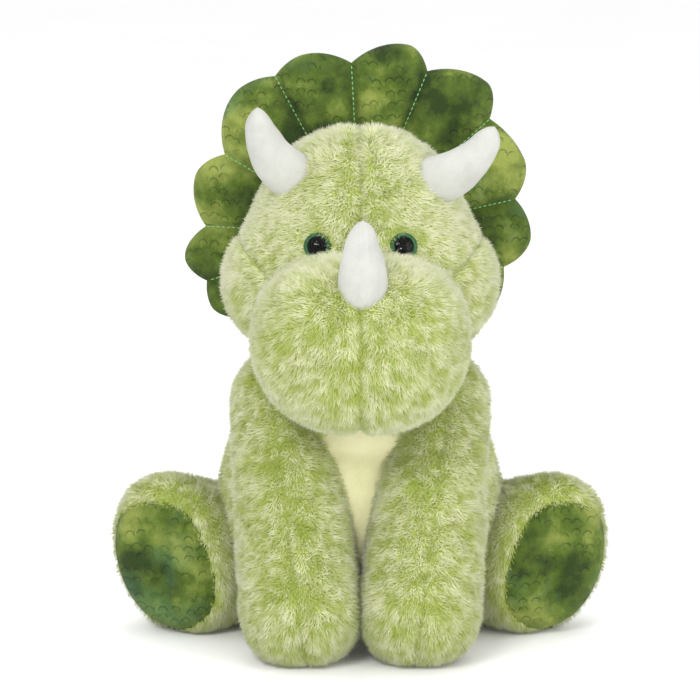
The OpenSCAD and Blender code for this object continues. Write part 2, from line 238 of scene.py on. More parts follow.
def melt(name, parts, voxel=0.003, rounds=12):
    """Joins closed forms into one smooth skin."""
    deselect()
    for part in parts:
        part.select_set(True)
    bpy.context.view_layer.objects.active = parts[0]
    bpy.ops.object.join()
    obj = bpy.context.object
    obj.name = name
    apply(obj, "REMESH", mode="VOXEL", voxel_size=voxel)
    apply(obj, "SMOOTH", factor=0.5, iterations=rounds)
    return obj


# %% [markdown]
# ## Stuffing a cover
# A sewn cover is tight between its seams and pulled in along them. A short cloth
# simulation with air pressure gives that: the seam lines are pinned, the rest swells by
# at most the cap, and one subdivision smooths the result.

# %% Stuff a cover with a cloth simulation
def stuff(obj, seam_distance, pressure=4.0, cap=0.004, frames=20, pin=0.003):
    rest = coords(obj)
    group = obj.vertex_groups.new(name="sewn")
    weights = np.exp(-(seam_distance(rest) / pin) ** 2)
    for index in np.nonzero(weights > 0.3)[0]:
        group.add([int(index)], float(weights[index]), "REPLACE")
    only(obj)
    cloth = obj.modifiers.new("cloth", "CLOTH")
    cloth.settings.use_pressure = True
    cloth.settings.uniform_pressure_force = pressure
    cloth.settings.effector_weights.gravity = 0
    cloth.settings.vertex_group_mass = "sewn"
    cloth.settings.quality = 4
    cloth.point_cache.frame_start = 1
    cloth.point_cache.frame_end = frames
    for f in range(1, frames + 1):
        scene.frame_set(f)
    bpy.ops.object.modifier_apply(modifier="cloth")
    scene.frame_set(1)
    step = coords(obj) - rest
    reach = np.linalg.norm(step, axis=1, keepdims=True)
    put(obj, rest + step * np.minimum(1, cap / np.maximum(reach, 1e-9)))
    obj.vertex_groups.clear()
    apply(obj, "SUBSURF", levels=1, render_levels=1)
    return obj


def press_seams(obj, seam_distance, depth=0.0025, width=0.004):
    """Pulls the skin in along its seams."""
    co = coords(obj)
    dent = depth * np.exp(-(seam_distance(co) / width) ** 2)
    put(obj, co - normals_of(obj) * dent[:, None])


FAR = 1.0  # a distance beyond every seam


def nearest(*distances):
    return np.min(distances, axis=0)


# %% [markdown]
# ## The pile
# Plush pile is thousands of fine fibres, each dyed yellow-green at the root and left pale
# at the tip. Thin closed spikes give it: they stand on the skin, lean with the lay of the
# cloth, clump a little, and part along the seams, where the roots show. Each spike keeps
# its height and its shade in a UV map, and the material reads its colour from that.

# %% Grow the pile on a skin
PILE_LENGTH = 0.0053
PILE_WIDTH = 0.00042
PILE_PER_AREA = 1.5e6      # spikes in a square metre
pile_pieces = []


def sample_skin(obj, per_area, rng):
    """Evenly spread points on a mesh, with the smooth normal at each."""
    mesh = obj.data
    mesh.calc_loop_triangles()
    tri = np.empty(len(mesh.loop_triangles) * 3, np.int32)
    mesh.loop_triangles.foreach_get("vertices", tri)
    tri = tri.reshape(-1, 3)
    co, normal = coords(obj), normals_of(obj)
    a, b, c = (co[tri[:, k]] for k in range(3))
    area = np.linalg.norm(np.cross(b - a, c - a), axis=1) / 2
    count = int(area.sum() * per_area)
    edges = np.concatenate([[0], np.cumsum(area)]) / area.sum()
    spots = (np.arange(count) + rng.random(count)) / count
    pick = np.clip(np.searchsorted(edges, spots) - 1, 0, len(tri) - 1)
    u, v = rng.random(count), rng.random(count)
    flip = u + v > 1
    u[flip], v[flip] = 1 - u[flip], 1 - v[flip]
    weights = np.stack([1 - u - v, u, v], 1)
    place = sum(weights[:, k, None] * co[tri[pick, k]] for k in range(3))
    facing = unit(sum(weights[:, k, None] * normal[tri[pick, k]] for k in range(3)))
    return place, facing


def grow_pile(name, skin, body, lay, seam_distance, seed, keep=None, length=PILE_LENGTH,
              parting=0.0026, painted_light_bias=lambda p: 0.0):
    """A mesh of spikes on a skin; lay gives the direction the cloth is brushed in."""
    rng = np.random.default_rng(seed)
    root, normal = sample_skin(skin, PILE_PER_AREA, rng)
    if keep is not None:
        chosen = keep(root)
        root, normal = root[chosen], normal[chosen]
    n = len(root)
    near_seam = np.exp(-(seam_distance(root) / parting) ** 2)
    brushed = lay(root)
    brushed = brushed - normal * (brushed * normal).sum(1, keepdims=True)
    clump = noise_vector(root, 0.0045, seed) + 0.6 * noise_vector(root, 0.012, seed + 5)
    direction = unit(normal + 0.75 * unit(brushed) + 0.55 * clump
                     + 0.28 * rng.standard_normal((n, 3)))
    tall = length * (0.72 + 0.4 * rng.random(n)) * (1 - 0.35 * near_seam)
    across = unit(np.cross(direction, rng.standard_normal((n, 3))))
    along = np.cross(direction, across)
    angles = np.array([0, 2, 4]) * math.pi / 3
    ring = [root - 0.0008 * normal + PILE_WIDTH
            * (math.cos(a) * across + math.sin(a) * along) for a in angles]
    tip = root + direction * tall[:, None]
    verts = np.stack([*ring, tip], 1).reshape(-1, 3)
    rest_on_floor = np.tile([0.0003, 0.0003, 0.0003, 0.0006], n) + np.repeat(
        0.0008 * rng.random(n), 4)
    verts[:, 2] = np.maximum(verts[:, 2], rest_on_floor)
    faces = np.array([[0, 2, 1], [0, 1, 3], [1, 2, 3], [2, 0, 3]])
    loops = (faces.reshape(1, -1) + 4 * np.arange(n)[:, None]).ravel()
    mesh = bpy.data.meshes.new(name)
    mesh.vertices.add(4 * n)
    mesh.vertices.foreach_set("co", verts.ravel())
    mesh.loops.add(12 * n)
    mesh.loops.foreach_set("vertex_index", loops.astype(np.int32))
    mesh.polygons.add(4 * n)
    mesh.polygons.foreach_set("loop_start", np.arange(0, 12 * n, 3, dtype=np.int32))
    mesh.update(calc_edges=True)
    patch = 0.8 * noise_at(root, 0.0036, seed + 9) + 0.2 * noise_at(root, 0.016, seed + 13)
    # The region term shifts the tone: painted light on the crown, painted shade on the arms.
    shade = 0.5 + 1.5 * (patch - 0.5) + 0.45 * (rng.random(n) - 0.5) + painted_light_bias(root)
    shade = np.clip(shade - 0.45 * near_seam, 0.02, 0.98)
    height = np.array([0.04, 0.04, 0.04, 0.96])
    uv = np.stack([np.repeat(shade, 12), height[loops % 4]], 1)
    layer = mesh.uv_layers.new(name="OFBake")
    layer.data.foreach_set("uv", uv.astype(np.float32).ravel())
    side = [math.cos(a) * across + math.sin(a) * along for a in angles]
    soft = [unit(0.75 * normal + 0.45 * s) for s in side] + [unit(0.8 * normal + 0.3 * direction)]
    mesh.normals_split_custom_set_from_vertices(np.stack(soft, 1).reshape(-1, 3))
    obj = bpy.data.objects.new(name, mesh)
    scene.collection.objects.link(obj)
    obj.data.materials.append(pile_material)
    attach(obj, body)
    pile_pieces.append(obj)
    print(name, n, "spikes")
    return obj


# %% [markdown]
# ## Materials
# The pile's colour runs from a yellow-green root to a pale tip. The velours have a fine
# nap that catches light at grazing angles, so they get sheen and a very small bump. The
# green velour is dyed in soft blotches and pressed with small round scales.

# %% Material helpers
def shader(name, **sockets):
    """A new material with its Principled sockets set."""
    material = bpy.data.materials.new(name)
    material.use_nodes = True
    tree = material.node_tree
    principled = tree.nodes["Principled BSDF"]
    for key, value in sockets.items():
        principled.inputs[key.replace("_", " ")].default_value = value
    return material, tree, principled


def ramp(tree, source, *stops):
    node = tree.nodes.new("ShaderNodeValToRGB")
    while len(node.color_ramp.elements) < len(stops):
        node.color_ramp.elements.new(0.5)
    for element, (place, colour) in zip(node.color_ramp.elements, stops):
        element.position = place
        element.color = (*colour, 1)
    tree.links.new(source, node.inputs["Fac"])
    return node.outputs["Color"]


def mix(tree, factor, a, b, blend="MIX"):
    node = tree.nodes.new("ShaderNodeMix")
    node.data_type = "RGBA"
    node.blend_type = blend
    for socket, value in ((node.inputs["Factor"], factor), (node.inputs["A"], a),
                          (node.inputs["B"], b)):
        if isinstance(value, bpy.types.NodeSocket):
            tree.links.new(value, socket)
        elif socket.type == "RGBA":
            socket.default_value = (*value, 1)
        else:
            socket.default_value = value
    return next(o for o in node.outputs if o.type == "RGBA" and o.enabled)


def texture(tree, kind, scale, **settings):
    """A noise or cell texture in the piece's own metres."""
    place = tree.nodes.new("ShaderNodeTexCoord")
    node = tree.nodes.new("ShaderNodeTex" + kind)
    tree.links.new(place.outputs["Object"], node.inputs["Vector"])
    node.inputs["Scale"].default_value = scale
    for key, value in settings.items():
        if key in node.inputs:
            node.inputs[key].default_value = value
        else:
            setattr(node, key, value)
    return node


def bump(tree, principled, height, strength, distance):
    node = tree.nodes.new("ShaderNodeBump")
    node.inputs["Strength"].default_value = strength
    node.inputs["Distance"].default_value = distance
    tree.links.new(height, node.inputs["Height"])
    tree.links.new(node.outputs["Normal"], principled.inputs["Normal"])
    return node


# %% Pile, skin and velour materials
ROOT_GREEN = (0.22, 0.30, 0.02)
MID_GREEN = (0.38, 0.46, 0.08)
TIP_PALE = (0.86, 0.87, 0.66)

pile_material, tree, principled = shader("tipped_pile", Roughness=0.85, Sheen_Weight=0.25,
                                         Sheen_Roughness=0.5, Specular_IOR_Level=0.2)
uv_node = tree.nodes.new("ShaderNodeUVMap")
uv_node.uv_map = "OFBake"
split = tree.nodes.new("ShaderNodeSeparateXYZ")
tree.links.new(uv_node.outputs["UV"], split.inputs["Vector"])
rich = ramp(tree, split.outputs["Y"], (0, ROOT_GREEN), (0.55, MID_GREEN), (1, (0.56, 0.63, 0.20)))
pale = ramp(tree, split.outputs["Y"], (0, (0.40, 0.47, 0.08)), (0.4, (0.70, 0.72, 0.40)),
            (1, TIP_PALE))
tree.links.new(mix(tree, split.outputs["X"], rich, pale), principled.inputs["Base Color"])

skin_material, tree, principled = shader("pile_backing", Roughness=0.95)
fuzz = texture(tree, "Noise", 600, Detail=4.0)
tree.links.new(ramp(tree, fuzz.outputs["Fac"], (0.3, (0.22, 0.29, 0.04)), (0.7, (0.42, 0.5, 0.13))),
               principled.inputs["Base Color"])
bump(tree, principled, fuzz.outputs["Fac"], 0.8, 0.001)


def velour(name, low, middle, high, blotch=35, nap=1600, sheen=0.4):
    material, tree, principled = shader(name, Roughness=0.8, Sheen_Weight=sheen,
                                        Sheen_Roughness=0.4, Specular_IOR_Level=0.25)
    blotches = texture(tree, "Noise", blotch, Detail=5.0, Roughness=0.62)
    grain = texture(tree, "Noise", nap, Detail=3.0)
    dyed = ramp(tree, blotches.outputs["Fac"], (0.36, low), (0.5, middle), (0.66, high))
    worn = ramp(tree, grain.outputs["Fac"], (0.25, (0.72, 0.72, 0.72)), (0.75, (1.0, 1.0, 1.0)))
    return material, tree, principled, dyed, grain, worn


horn_material, tree, principled, dyed, grain, worn = velour(
    "horn_velour", (0.44, 0.445, 0.415), (0.49, 0.495, 0.46), (0.53, 0.535, 0.50), sheen=0.1)
tree.links.new(mix(tree, 0.35, dyed, worn, "MULTIPLY"), principled.inputs["Base Color"])
bump(tree, principled, grain.outputs["Fac"], 0.35, 0.0006)

belly_material, tree, principled, dyed, grain, worn = velour(
    "belly_velour", (0.67, 0.65, 0.36), (0.71, 0.69, 0.41), (0.75, 0.73, 0.45), sheen=0.2)
tree.links.new(mix(tree, 0.4, dyed, worn, "MULTIPLY"), principled.inputs["Base Color"])
bump(tree, principled, grain.outputs["Fac"], 0.4, 0.0006)

frill_material, tree, principled, dyed, grain, worn = velour(
    "frill_velour", (0.024, 0.048, 0.006), (0.090, 0.145, 0.016), (0.28, 0.33, 0.07),
    blotch=30, sheen=0.05)
teal = texture(tree, "Noise", 21, Detail=3.0)
teal_share = ramp(tree, teal.outputs["Fac"], (0.56, (0, 0, 0)), (0.72, (0.65, 0.65, 0.65)))
dyed = mix(tree, teal_share, dyed, (0.10, 0.22, 0.10))
tree.links.new(mix(tree, 0.6, dyed, worn, "MULTIPLY"), principled.inputs["Base Color"])
bump(tree, principled, grain.outputs["Fac"], 0.4, 0.0006)

# The green velour is pressed with rows of small half-round scales, and its colour is darkened along
# their edges as painted shade
place = tree.nodes.new("ShaderNodeTexCoord")
across = tree.nodes.new("ShaderNodeSeparateXYZ")
flat = tree.nodes.new("ShaderNodeCombineXYZ")
tree.links.new(place.outputs["Object"], across.inputs["Vector"])
tree.links.new(across.outputs["X"], flat.inputs["X"])
tree.links.new(across.outputs["Z"], flat.inputs["Y"])
cells = tree.nodes.new("ShaderNodeTexVoronoi")
cells.voronoi_dimensions = "2D"
cells.inputs["Scale"].default_value = 135
cells.inputs["Randomness"].default_value = 0.55
tree.links.new(flat.outputs["Vector"], cells.inputs["Vector"])
offset = tree.nodes.new("ShaderNodeVectorMath")
offset.operation = "SUBTRACT"
tree.links.new(flat.outputs["Vector"], offset.inputs[0])
tree.links.new(cells.outputs["Position"], offset.inputs[1])
part = tree.nodes.new("ShaderNodeSeparateXYZ")
tree.links.new(offset.outputs["Vector"], part.inputs["Vector"])
ring = ramp(tree, cells.outputs["Distance"], (0.27, (0, 0, 0)), (0.34, (1, 1, 1)),
            (0.41, (0, 0, 0)))
above = tree.nodes.new("ShaderNodeMapRange")
above.inputs["From Min"].default_value = -0.0006
above.inputs["From Max"].default_value = 0.0006
tree.links.new(part.outputs["Y"], above.inputs["Value"])
patchy = texture(tree, "Noise", 45, Detail=1.0)
shown = ramp(tree, patchy.outputs["Fac"], (0.42, (0.1, 0.1, 0.1)), (0.56, (1, 1, 1)))
scale_edge = mix(tree, above.outputs["Result"], (0, 0, 0), ring)
scale_edge = mix(tree, 1.0, scale_edge, shown, "MULTIPLY")
# Painted shade: the colour is darkened along the pressed scale edges.
groove_painted_shade = mix(tree, scale_edge, (1, 1, 1), (0.76, 0.79, 0.74))
dyed = mix(tree, 1.0, mix(tree, 0.6, dyed, worn, "MULTIPLY"), groove_painted_shade, "MULTIPLY")
tree.links.new(dyed, principled.inputs["Base Color"])
pressed = mix(tree, 0.8, grain.outputs["Color"], scale_edge, "SUBTRACT")
bump(tree, principled, pressed, 0.9, 0.0014)

thread_material, tree, principled = shader("thread", Roughness=0.5)
twist = texture(tree, "Noise", 2500, Detail=2.0)
tree.links.new(ramp(tree, twist.outputs["Fac"], (0.3, (0.10, 0.34, 0.12)),
                    (0.7, (0.28, 0.62, 0.30))),
               principled.inputs["Base Color"])

glitter_material, tree, principled = shader("eye_glitter", Metallic=0.3, Roughness=0.4)
flakes = texture(tree, "Voronoi", 4200)
tree.links.new(ramp(tree, flakes.outputs["Distance"], (0.10, (0.16, 0.62, 0.22)),
                    (0.45, (0.006, 0.07, 0.016))),
               principled.inputs["Base Color"])
bump(tree, principled, flakes.outputs["Distance"], 0.7, 0.0003)

pupil_material, tree, principled = shader("eye_black", Roughness=0.6, Specular_IOR_Level=0.0)
speck = texture(tree, "Noise", 900, Detail=2.0)
tree.links.new(ramp(tree, speck.outputs["Fac"], (0.3, (0.003, 0.003, 0.003)),
                    (0.7, (0.009, 0.009, 0.008))),
               principled.inputs["Base Color"])

lens_material, tree, principled = shader("eye_dome", Roughness=0.0, IOR=1.22,
                                         Transmission_Weight=1.0)
tint = texture(tree, "Noise", 60, Detail=1.0)
tree.links.new(ramp(tree, tint.outputs["Fac"], (0.3, (0.90, 0.98, 0.92)), (0.7, (0.96, 1.0, 0.97))),
               principled.inputs["Base Color"])

floor_material, tree, principled = shader("floor", Roughness=0.9)
paper = texture(tree, "Noise", 3, Detail=2.0)
tree.links.new(ramp(tree, paper.outputs["Fac"], (0.3, (0.97, 0.97, 0.975)),
                    (0.7, (0.985, 0.985, 0.99))),
               principled.inputs["Base Color"])
floor.data.materials.append(floor_material)


# %% [markdown]
# ## Head and muzzle
# The head is two crowned forms that run into each other: a round skull and a wide, boxy
# muzzle set low in front. Seams run down the middle of the face, round the top of the
# muzzle, and across each cheek.

# %% Head skin
head_box = span("head_left_panel", "head_right_panel", "head_back_panel")
HEAD_CENTRE = np.array((0, -0.006, 0.212))
MUZZLE_CENTRE = np.array((0, -0.070, 0.186))
SEAM_FRILL_Y = 0.016

skull = egg("skull", HEAD_CENTRE, head_box[1].x, 0.060, head_box[1].y + 0.006,
            head_box[1].z - HEAD_CENTRE[2], 0.049, square=2.15)
snout = egg("snout", MUZZLE_CENTRE, 0.060, 0.054, 0.05, 0.050, 0.048, square=2.6)
co = coords(skull)
rise = np.clip((co[:, 2] - HEAD_CENTRE[2] - 0.008) / 0.035, 0, 1)
co[:, 0] *= 1 - 0.15 * rise * rise * (3 - 2 * rise)
put(skull, co)
co = coords(snout)
drop = np.clip((MUZZLE_CENTRE[2] - co[:, 2]) / 0.048, 0, 1)
co[:, 0] *= 1 - 0.17 * drop ** 1.5
put(snout, co)
head = melt("head_skin", [skull, snout])


def head_seams(p):
    x, y, z = np.abs(p[:, 0]), p[:, 1], p[:, 2]
    face = np.where(y < SEAM_FRILL_Y + 0.004, x, FAR)
    cheek_line = 0.226 + 0.9 * (x - 0.056)
    cheek = np.where((x > 0.05) & (y < SEAM_FRILL_Y), np.abs(z - cheek_line), FAR)
    crown = np.abs(y - SEAM_FRILL_Y)
    return nearest(face, cheek, crown)


stuff(head, head_seams)
press_seams(head, head_seams)
head_tree = BVHTree.FromObject(head, bpy.context.evaluated_depsgraph_get())
smooth(head).data.materials.append(skin_material)
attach(head, "head")
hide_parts("head_left_panel", "head_right_panel", "head_back_panel",
            "muzzle_left_panel", "muzzle_right_panel", "head_stuffing")


# %% [markdown]
# ## Eyes, horns and pile on the head
# The eyes and the horns are placed first, because the pile leaves out the skin beneath them
# and is parted above each eye.

# %% Places of the eyes and the horns on the head
EYE_RADIUS = 0.0078


def eye_place(sign):
    """The middle of an eye's base on the skin, and the direction it looks in."""
    side = "left" if sign > 0 else "right"
    low, high = span("eye_" + side + "_lens")
    spot, normal, _, _ = head_tree.find_nearest((low + high) / 2)
    return np.array(spot), unit(np.array(normal) + np.array([0, -0.25, 0.05]))


eye_places = {sign: eye_place(sign) for sign in (1, -1)}


def bow(start, turn, tip, steps=40):
    """Points along a bowed line from start to tip."""
    t = np.linspace(0, 1, steps)[:, None]
    return (1 - t) ** 2 * np.array(start) + 2 * t * (1 - t) * np.array(turn) + t * t * np.array(tip)


# The two brow horns are sewn on by hand: one stands up, the other leans out
HORN_LINES = {
    "brow_horn_right": (bow((-0.024, -0.017, 0.270), (-0.0575, -0.0415, 0.281),
                            (-0.0590, -0.045, 0.319)), 0.0150, 0.0052, (-1, -0.35, 0)),
    "brow_horn_left": (bow((0.026, -0.018, 0.270), (0.0620, -0.0385, 0.2745),
                           (0.0770, -0.042, 0.3075)), 0.0150, 0.0050, (0.8, -0.3, -1)),
    "nose_horn": (bow((0.001, -0.1045, 0.2190), (0.001, -0.1150, 0.2370),
                      (0.001, -0.1110, 0.2625)), 0.0146, 0.0050, (0.12, -1, 0)),
}


def horn_radius(t, base, tip):
    """A horn's radius along its length, with a rounded end."""
    body = tip + (base - tip) * (1 - t ** 2.2)
    return body * np.sqrt(np.clip(1 - ((t - 0.86) / 0.14).clip(0, 1) ** 2, 0, 1))


def head_clear(p):
    """Where the pile grows: not under an eye or a horn."""
    clear = np.ones(len(p), bool)
    for middle, out in eye_places.values():
        d = p - middle
        beside = np.linalg.norm(d - (d @ out)[:, None] * out, axis=1)
        clear &= (beside > EYE_RADIUS * 0.97) | (np.abs(d @ out) > 0.012)
    for line, base, tip, _ in HORN_LINES.values():
        radius = horn_radius(np.linspace(0, 1, len(line)), base, tip)
        apart = np.linalg.norm(p[:, None] - line[None], axis=2) - radius
        clear &= apart.min(1) > -0.0012
    return clear


def pile_partings(p):
    """The seams, and the parted pile above each eye."""
    partings = [head_seams(p)]
    for middle, out in eye_places.values():
        d = p - middle
        ring = np.abs(np.linalg.norm(d, axis=1) - EYE_RADIUS - 0.003)
        partings.append(np.where(d[:, 2] > 0.001, ring, FAR))
    return nearest(*partings)


# %% Head pile
def head_lay(p):
    """Brushed down and outwards over the face."""
    return np.stack([0.9 * p[:, 0] / 0.08, 0.25 + 0 * p[:, 1], -1.0 + 0 * p[:, 0]], 1)


def crown_painted_light(p):
    """Painted light: the crown's pile is made paler than the face, as if lit from above."""
    return 0.32 * np.clip((p[:, 2] - 0.20) / 0.04, 0, 1) - 0.02


grow_pile("head_pile_left", head, "head", head_lay, pile_partings, 11, painted_light_bias=crown_painted_light,
          keep=lambda p: (p[:, 0] >= 0) & (p[:, 1] < SEAM_FRILL_Y) & head_clear(p))
grow_pile("head_pile_right", head, "head", head_lay, pile_partings, 12, painted_light_bias=crown_painted_light,
          keep=lambda p: (p[:, 0] < 0) & (p[:, 1] < SEAM_FRILL_Y) & head_clear(p))
grow_pile("head_pile_back", head, "head", head_lay, head_seams, 13,
          keep=lambda p: p[:, 1] >= SEAM_FRILL_Y)

# %% [markdown]
# ## Torso and belly
# The body is a pear that sits flat, with a round neck under the head. It is plush all
# round, apart from an oval of pale velour let into the front.

# %% Torso skin
torso_box = span("back_left_panel", "back_right_panel", "belly_panel")
TORSO_CENTRE = np.array((0, 0.002, 0.066))
NECK_CENTRE = np.array(joint_at["neck_turn"])
NECK_RADIUS = 0.0545
BELLY_CENTRE_Z = 0.074
BELLY_HALF = np.array((0.041, 0.062))


def floor_flat(obj, level=0.0):
    """Presses what lies under the floor flat."""
    co = coords(obj)
    co[:, 2] = np.maximum(co[:, 2], level)
    put(obj, co)


pear = egg("pear", TORSO_CENTRE, torso_box[1].x, 0.050, 0.066, 0.113, 0.088)
neck = egg("neck", NECK_CENTRE, *[NECK_RADIUS] * 5)
torso = melt("torso_skin", [pear, neck], rounds=8)
floor_flat(torso)


def belly_edge(p):
    """How far a point is inside (below 0) or outside the belly panel's oval."""
    oval = np.hypot(p[:, 0] / BELLY_HALF[0], (p[:, 2] - BELLY_CENTRE_Z) / BELLY_HALF[1])
    return np.where(p[:, 1] < TORSO_CENTRE[1], (oval - 1) * BELLY_HALF[0], FAR)


def torso_seams(p):
    spine = np.where(p[:, 1] > 0.01, np.abs(p[:, 0]), FAR)
    return nearest(spine, np.abs(belly_edge(p)), FAR + 0 * spine)


stuff(torso, torso_seams, cap=0.003)
press_seams(torso, torso_seams, depth=0.0015)
floor_flat(torso)
smooth(torso).data.materials.append(skin_material)
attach(torso, "torso")
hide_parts("back_left_panel", "back_right_panel", "seat_panel", "body_stuffing",
            "seat_pellet_bag", "neck_stuffing")


def off_floor(p):
    return p[:, 2] > 0.0015


def torso_lay(p):
    return np.stack([0.3 * p[:, 0] / 0.08, 0.2 + 0 * p[:, 1], -1.0 + 0 * p[:, 0]], 1)


grow_pile("torso_pile_left", torso, "torso", torso_lay, torso_seams, 21,
          keep=lambda p: off_floor(p) & (p[:, 0] >= 0) & (belly_edge(p) > 0) & (p[:, 2] < 0.172))
grow_pile("torso_pile_right", torso, "torso", torso_lay, torso_seams, 22,
          keep=lambda p: off_floor(p) & (p[:, 0] < 0) & (belly_edge(p) > 0) & (p[:, 2] < 0.172))


# %% Belly panel
def peel(name, source, inside, lift, thickness):
    """A panel of cloth: the faces of a skin inside an outline, lifted and thickened."""
    deselect()
    panel = source.copy()
    panel.data = source.data.copy()
    panel.name = name
    panel.parent = None
    for key in list(panel.keys()):
        del panel[key]
    scene.collection.objects.link(panel)
    panel.data.materials.clear()
    mesh = bmesh.new()
    mesh.from_mesh(panel.data)
    centres = np.array([f.calc_center_median() for f in mesh.faces])
    wanted = inside(centres)
    bmesh.ops.delete(mesh, geom=[f for f, w in zip(mesh.faces, wanted) if not w],
                     context="FACES")
    mesh.to_mesh(panel.data)
    mesh.free()
    put(panel, coords(panel) + normals_of(panel) * lift)
    apply(panel, "SOLIDIFY", thickness=thickness, offset=-1)
    return panel


belly = peel("belly_panel_velour", torso, lambda p: belly_edge(p) < 0.0015, 0.0008, 0.0015)
co = coords(belly)
front = co[:, 1] < 0
creases = 0.0008 * np.sin((co[:, 2] - 0.1) / 0.0042) * np.exp(-((co[:, 2] - 0.118) / 0.012) ** 2)
co[:, 1] += np.where(front, creases, 0)
put(belly, co)
smooth(belly).data.materials.append(belly_material)
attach(belly, "torso")
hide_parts("belly_panel")

# %% [markdown]
# ## Arms
# Each arm is a tapering tube, sewn from an inner and an outer half whose seam runs down
# its front, and it ends in a broad paw that stands on the floor. A convex hull round two
# balls gives the tube, and the remesh and the stuffing make it soft.

# %% Arms
SHOULDER = {1: np.array(joint_at["arm_left_raise"]), -1: np.array(joint_at["arm_right_raise"])}
SIDE_NAME = {1: "left", -1: "right"}


def wrap(name, parts, voxel=0.0035, rounds=6):
    """The tight skin round some forms."""
    deselect()
    for part in parts:
        part.select_set(True)
    bpy.context.view_layer.objects.active = parts[0]
    bpy.ops.object.join()
    obj = bpy.context.object
    obj.name = name
    bpy.ops.object.mode_set(mode="EDIT")
    bpy.ops.mesh.select_all(action="SELECT")
    bpy.ops.mesh.convex_hull()
    bpy.ops.object.mode_set(mode="OBJECT")
    apply(obj, "REMESH", mode="VOXEL", voxel_size=voxel)
    apply(obj, "SMOOTH", factor=0.5, iterations=rounds)
    return obj


torso_tree = BVHTree.FromObject(torso, bpy.context.evaluated_depsgraph_get())


def inside_of(tree, margin):
    """A test for points that lie deeper than margin inside a skin."""
    def test(points):
        deep = np.zeros(len(points), bool)
        for index, point in enumerate(points):
            spot, normal, _, distance = tree.find_nearest(point, 0.05)
            if spot is not None:
                deep[index] = (Vector(point) - spot).dot(normal) < -margin
        return deep
    return test


in_torso = inside_of(torso_tree, 0.001)


def make_arm(sign):
    side = SIDE_NAME[sign]
    body = "arm_" + side
    low, high = span(body + "_outer_panel", body + "_inner_panel")
    shoulder = SHOULDER[sign]
    paw_radius = 0.0325
    paw = np.array([sign * 0.0340, -0.072, paw_radius - 0.003])
    ball = egg("ball", shoulder + (-0.0025 * sign, 0, 0.005), *[0.028] * 5)
    forearm = egg("forearm", shoulder * 0.35 + paw * 0.65, *[0.0308] * 5)
    foot = egg("foot", paw, 0.0335, 0.034, 0.031, paw_radius, paw_radius, square=2.05)
    arm = wrap(body + "_skin", [ball, forearm, foot])
    floor_flat(arm)
    lean = (shoulder[0] - paw[0]) / (shoulder[2] - paw[2])

    def seams(p):
        middle = shoulder[0] + (p[:, 2] - shoulder[2]) * lean
        return np.abs(p[:, 0] - middle)

    stuff(arm, seams, cap=0.003)
    press_seams(arm, seams, depth=0.0009, width=0.003)
    co = coords(arm)
    gather = np.exp(-((co[:, 1] - low.y) / 0.016) ** 2 - ((co[:, 2] - 0.012) / 0.012) ** 2
                    - ((co[:, 0] - paw[0]) / 0.005) ** 2)
    co[:, 1] += 0.004 * gather
    put(arm, co)
    floor_flat(arm)
    smooth(arm).data.materials.append(skin_material)
    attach(arm, body)
    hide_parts(body + "_outer_panel", body + "_inner_panel", body + "_stuffing")

    def lay(p):
        return np.stack([0.15 * (p[:, 0] - paw[0]) / 0.03, -0.1 + 0 * p[:, 1],
                         -1.0 + 0 * p[:, 0]], 1)

    # The arm pile's tone is lowered a little: painted shade.
    grow_pile(body + "_pile", arm, body, lay, seams, 31 if sign > 0 else 32, parting=0.0013,
              painted_light_bias=lambda p: -0.04,
              keep=lambda p: off_floor(p) & ~in_torso(p))
    return arm


for sign in (1, -1):
    make_arm(sign)

# %% [markdown]
# ## Legs and soles
# A leg runs forward from the hip to a round foot whose sole faces the viewer. The foot is
# a thick disc with a rounded rim, and the sole is an oval of green velour set into it.

# %% Legs
HIP = {1: np.array(joint_at["leg_left_splay"]), -1: np.array(joint_at["leg_right_splay"])}
SOLE_ANGLE = math.radians(18)
SOLE_ROLL = math.radians(20)
FOOT_MIDDLE = (0.1138, -0.0190, 0.0468)


def sole_frame(sign):
    """The sole's middle, and the directions out of it, across it and up it."""
    out = np.array([sign * math.sin(SOLE_ANGLE), -math.cos(SOLE_ANGLE), 0])
    across = np.array([sign * math.cos(SOLE_ANGLE), math.sin(SOLE_ANGLE), 0])
    up = np.array([0, 0, 1.0])
    up, across = (math.cos(SOLE_ROLL) * up + math.sin(SOLE_ROLL) * across,
                  math.cos(SOLE_ROLL) * across - math.sin(SOLE_ROLL) * up)
    middle = np.array(FOOT_MIDDLE) * (sign, 1, 1)
    return middle, out, across, up


def disc(name, middle, out, across, up, half_w, half_h, depth, edge):
    """A thick oval disc with a rounded rim, its face at the middle."""
    deselect()
    bpy.ops.mesh.primitive_cylinder_add(vertices=64, radius=1, depth=1)
    obj = bpy.context.object
    obj.name = name
    co = coords(obj)
    put(obj, np.stack([co[:, 0] * half_w, co[:, 1] * half_h, (co[:, 2] - 0.5) * depth], 1))
    apply(obj, "BEVEL", width=edge, segments=6, limit_method="ANGLE", angle_limit=1.0)
    co = coords(obj)
    put(obj, middle + co[:, :1] * across + co[:, 1:2] * up + co[:, 2:] * out)
    return obj


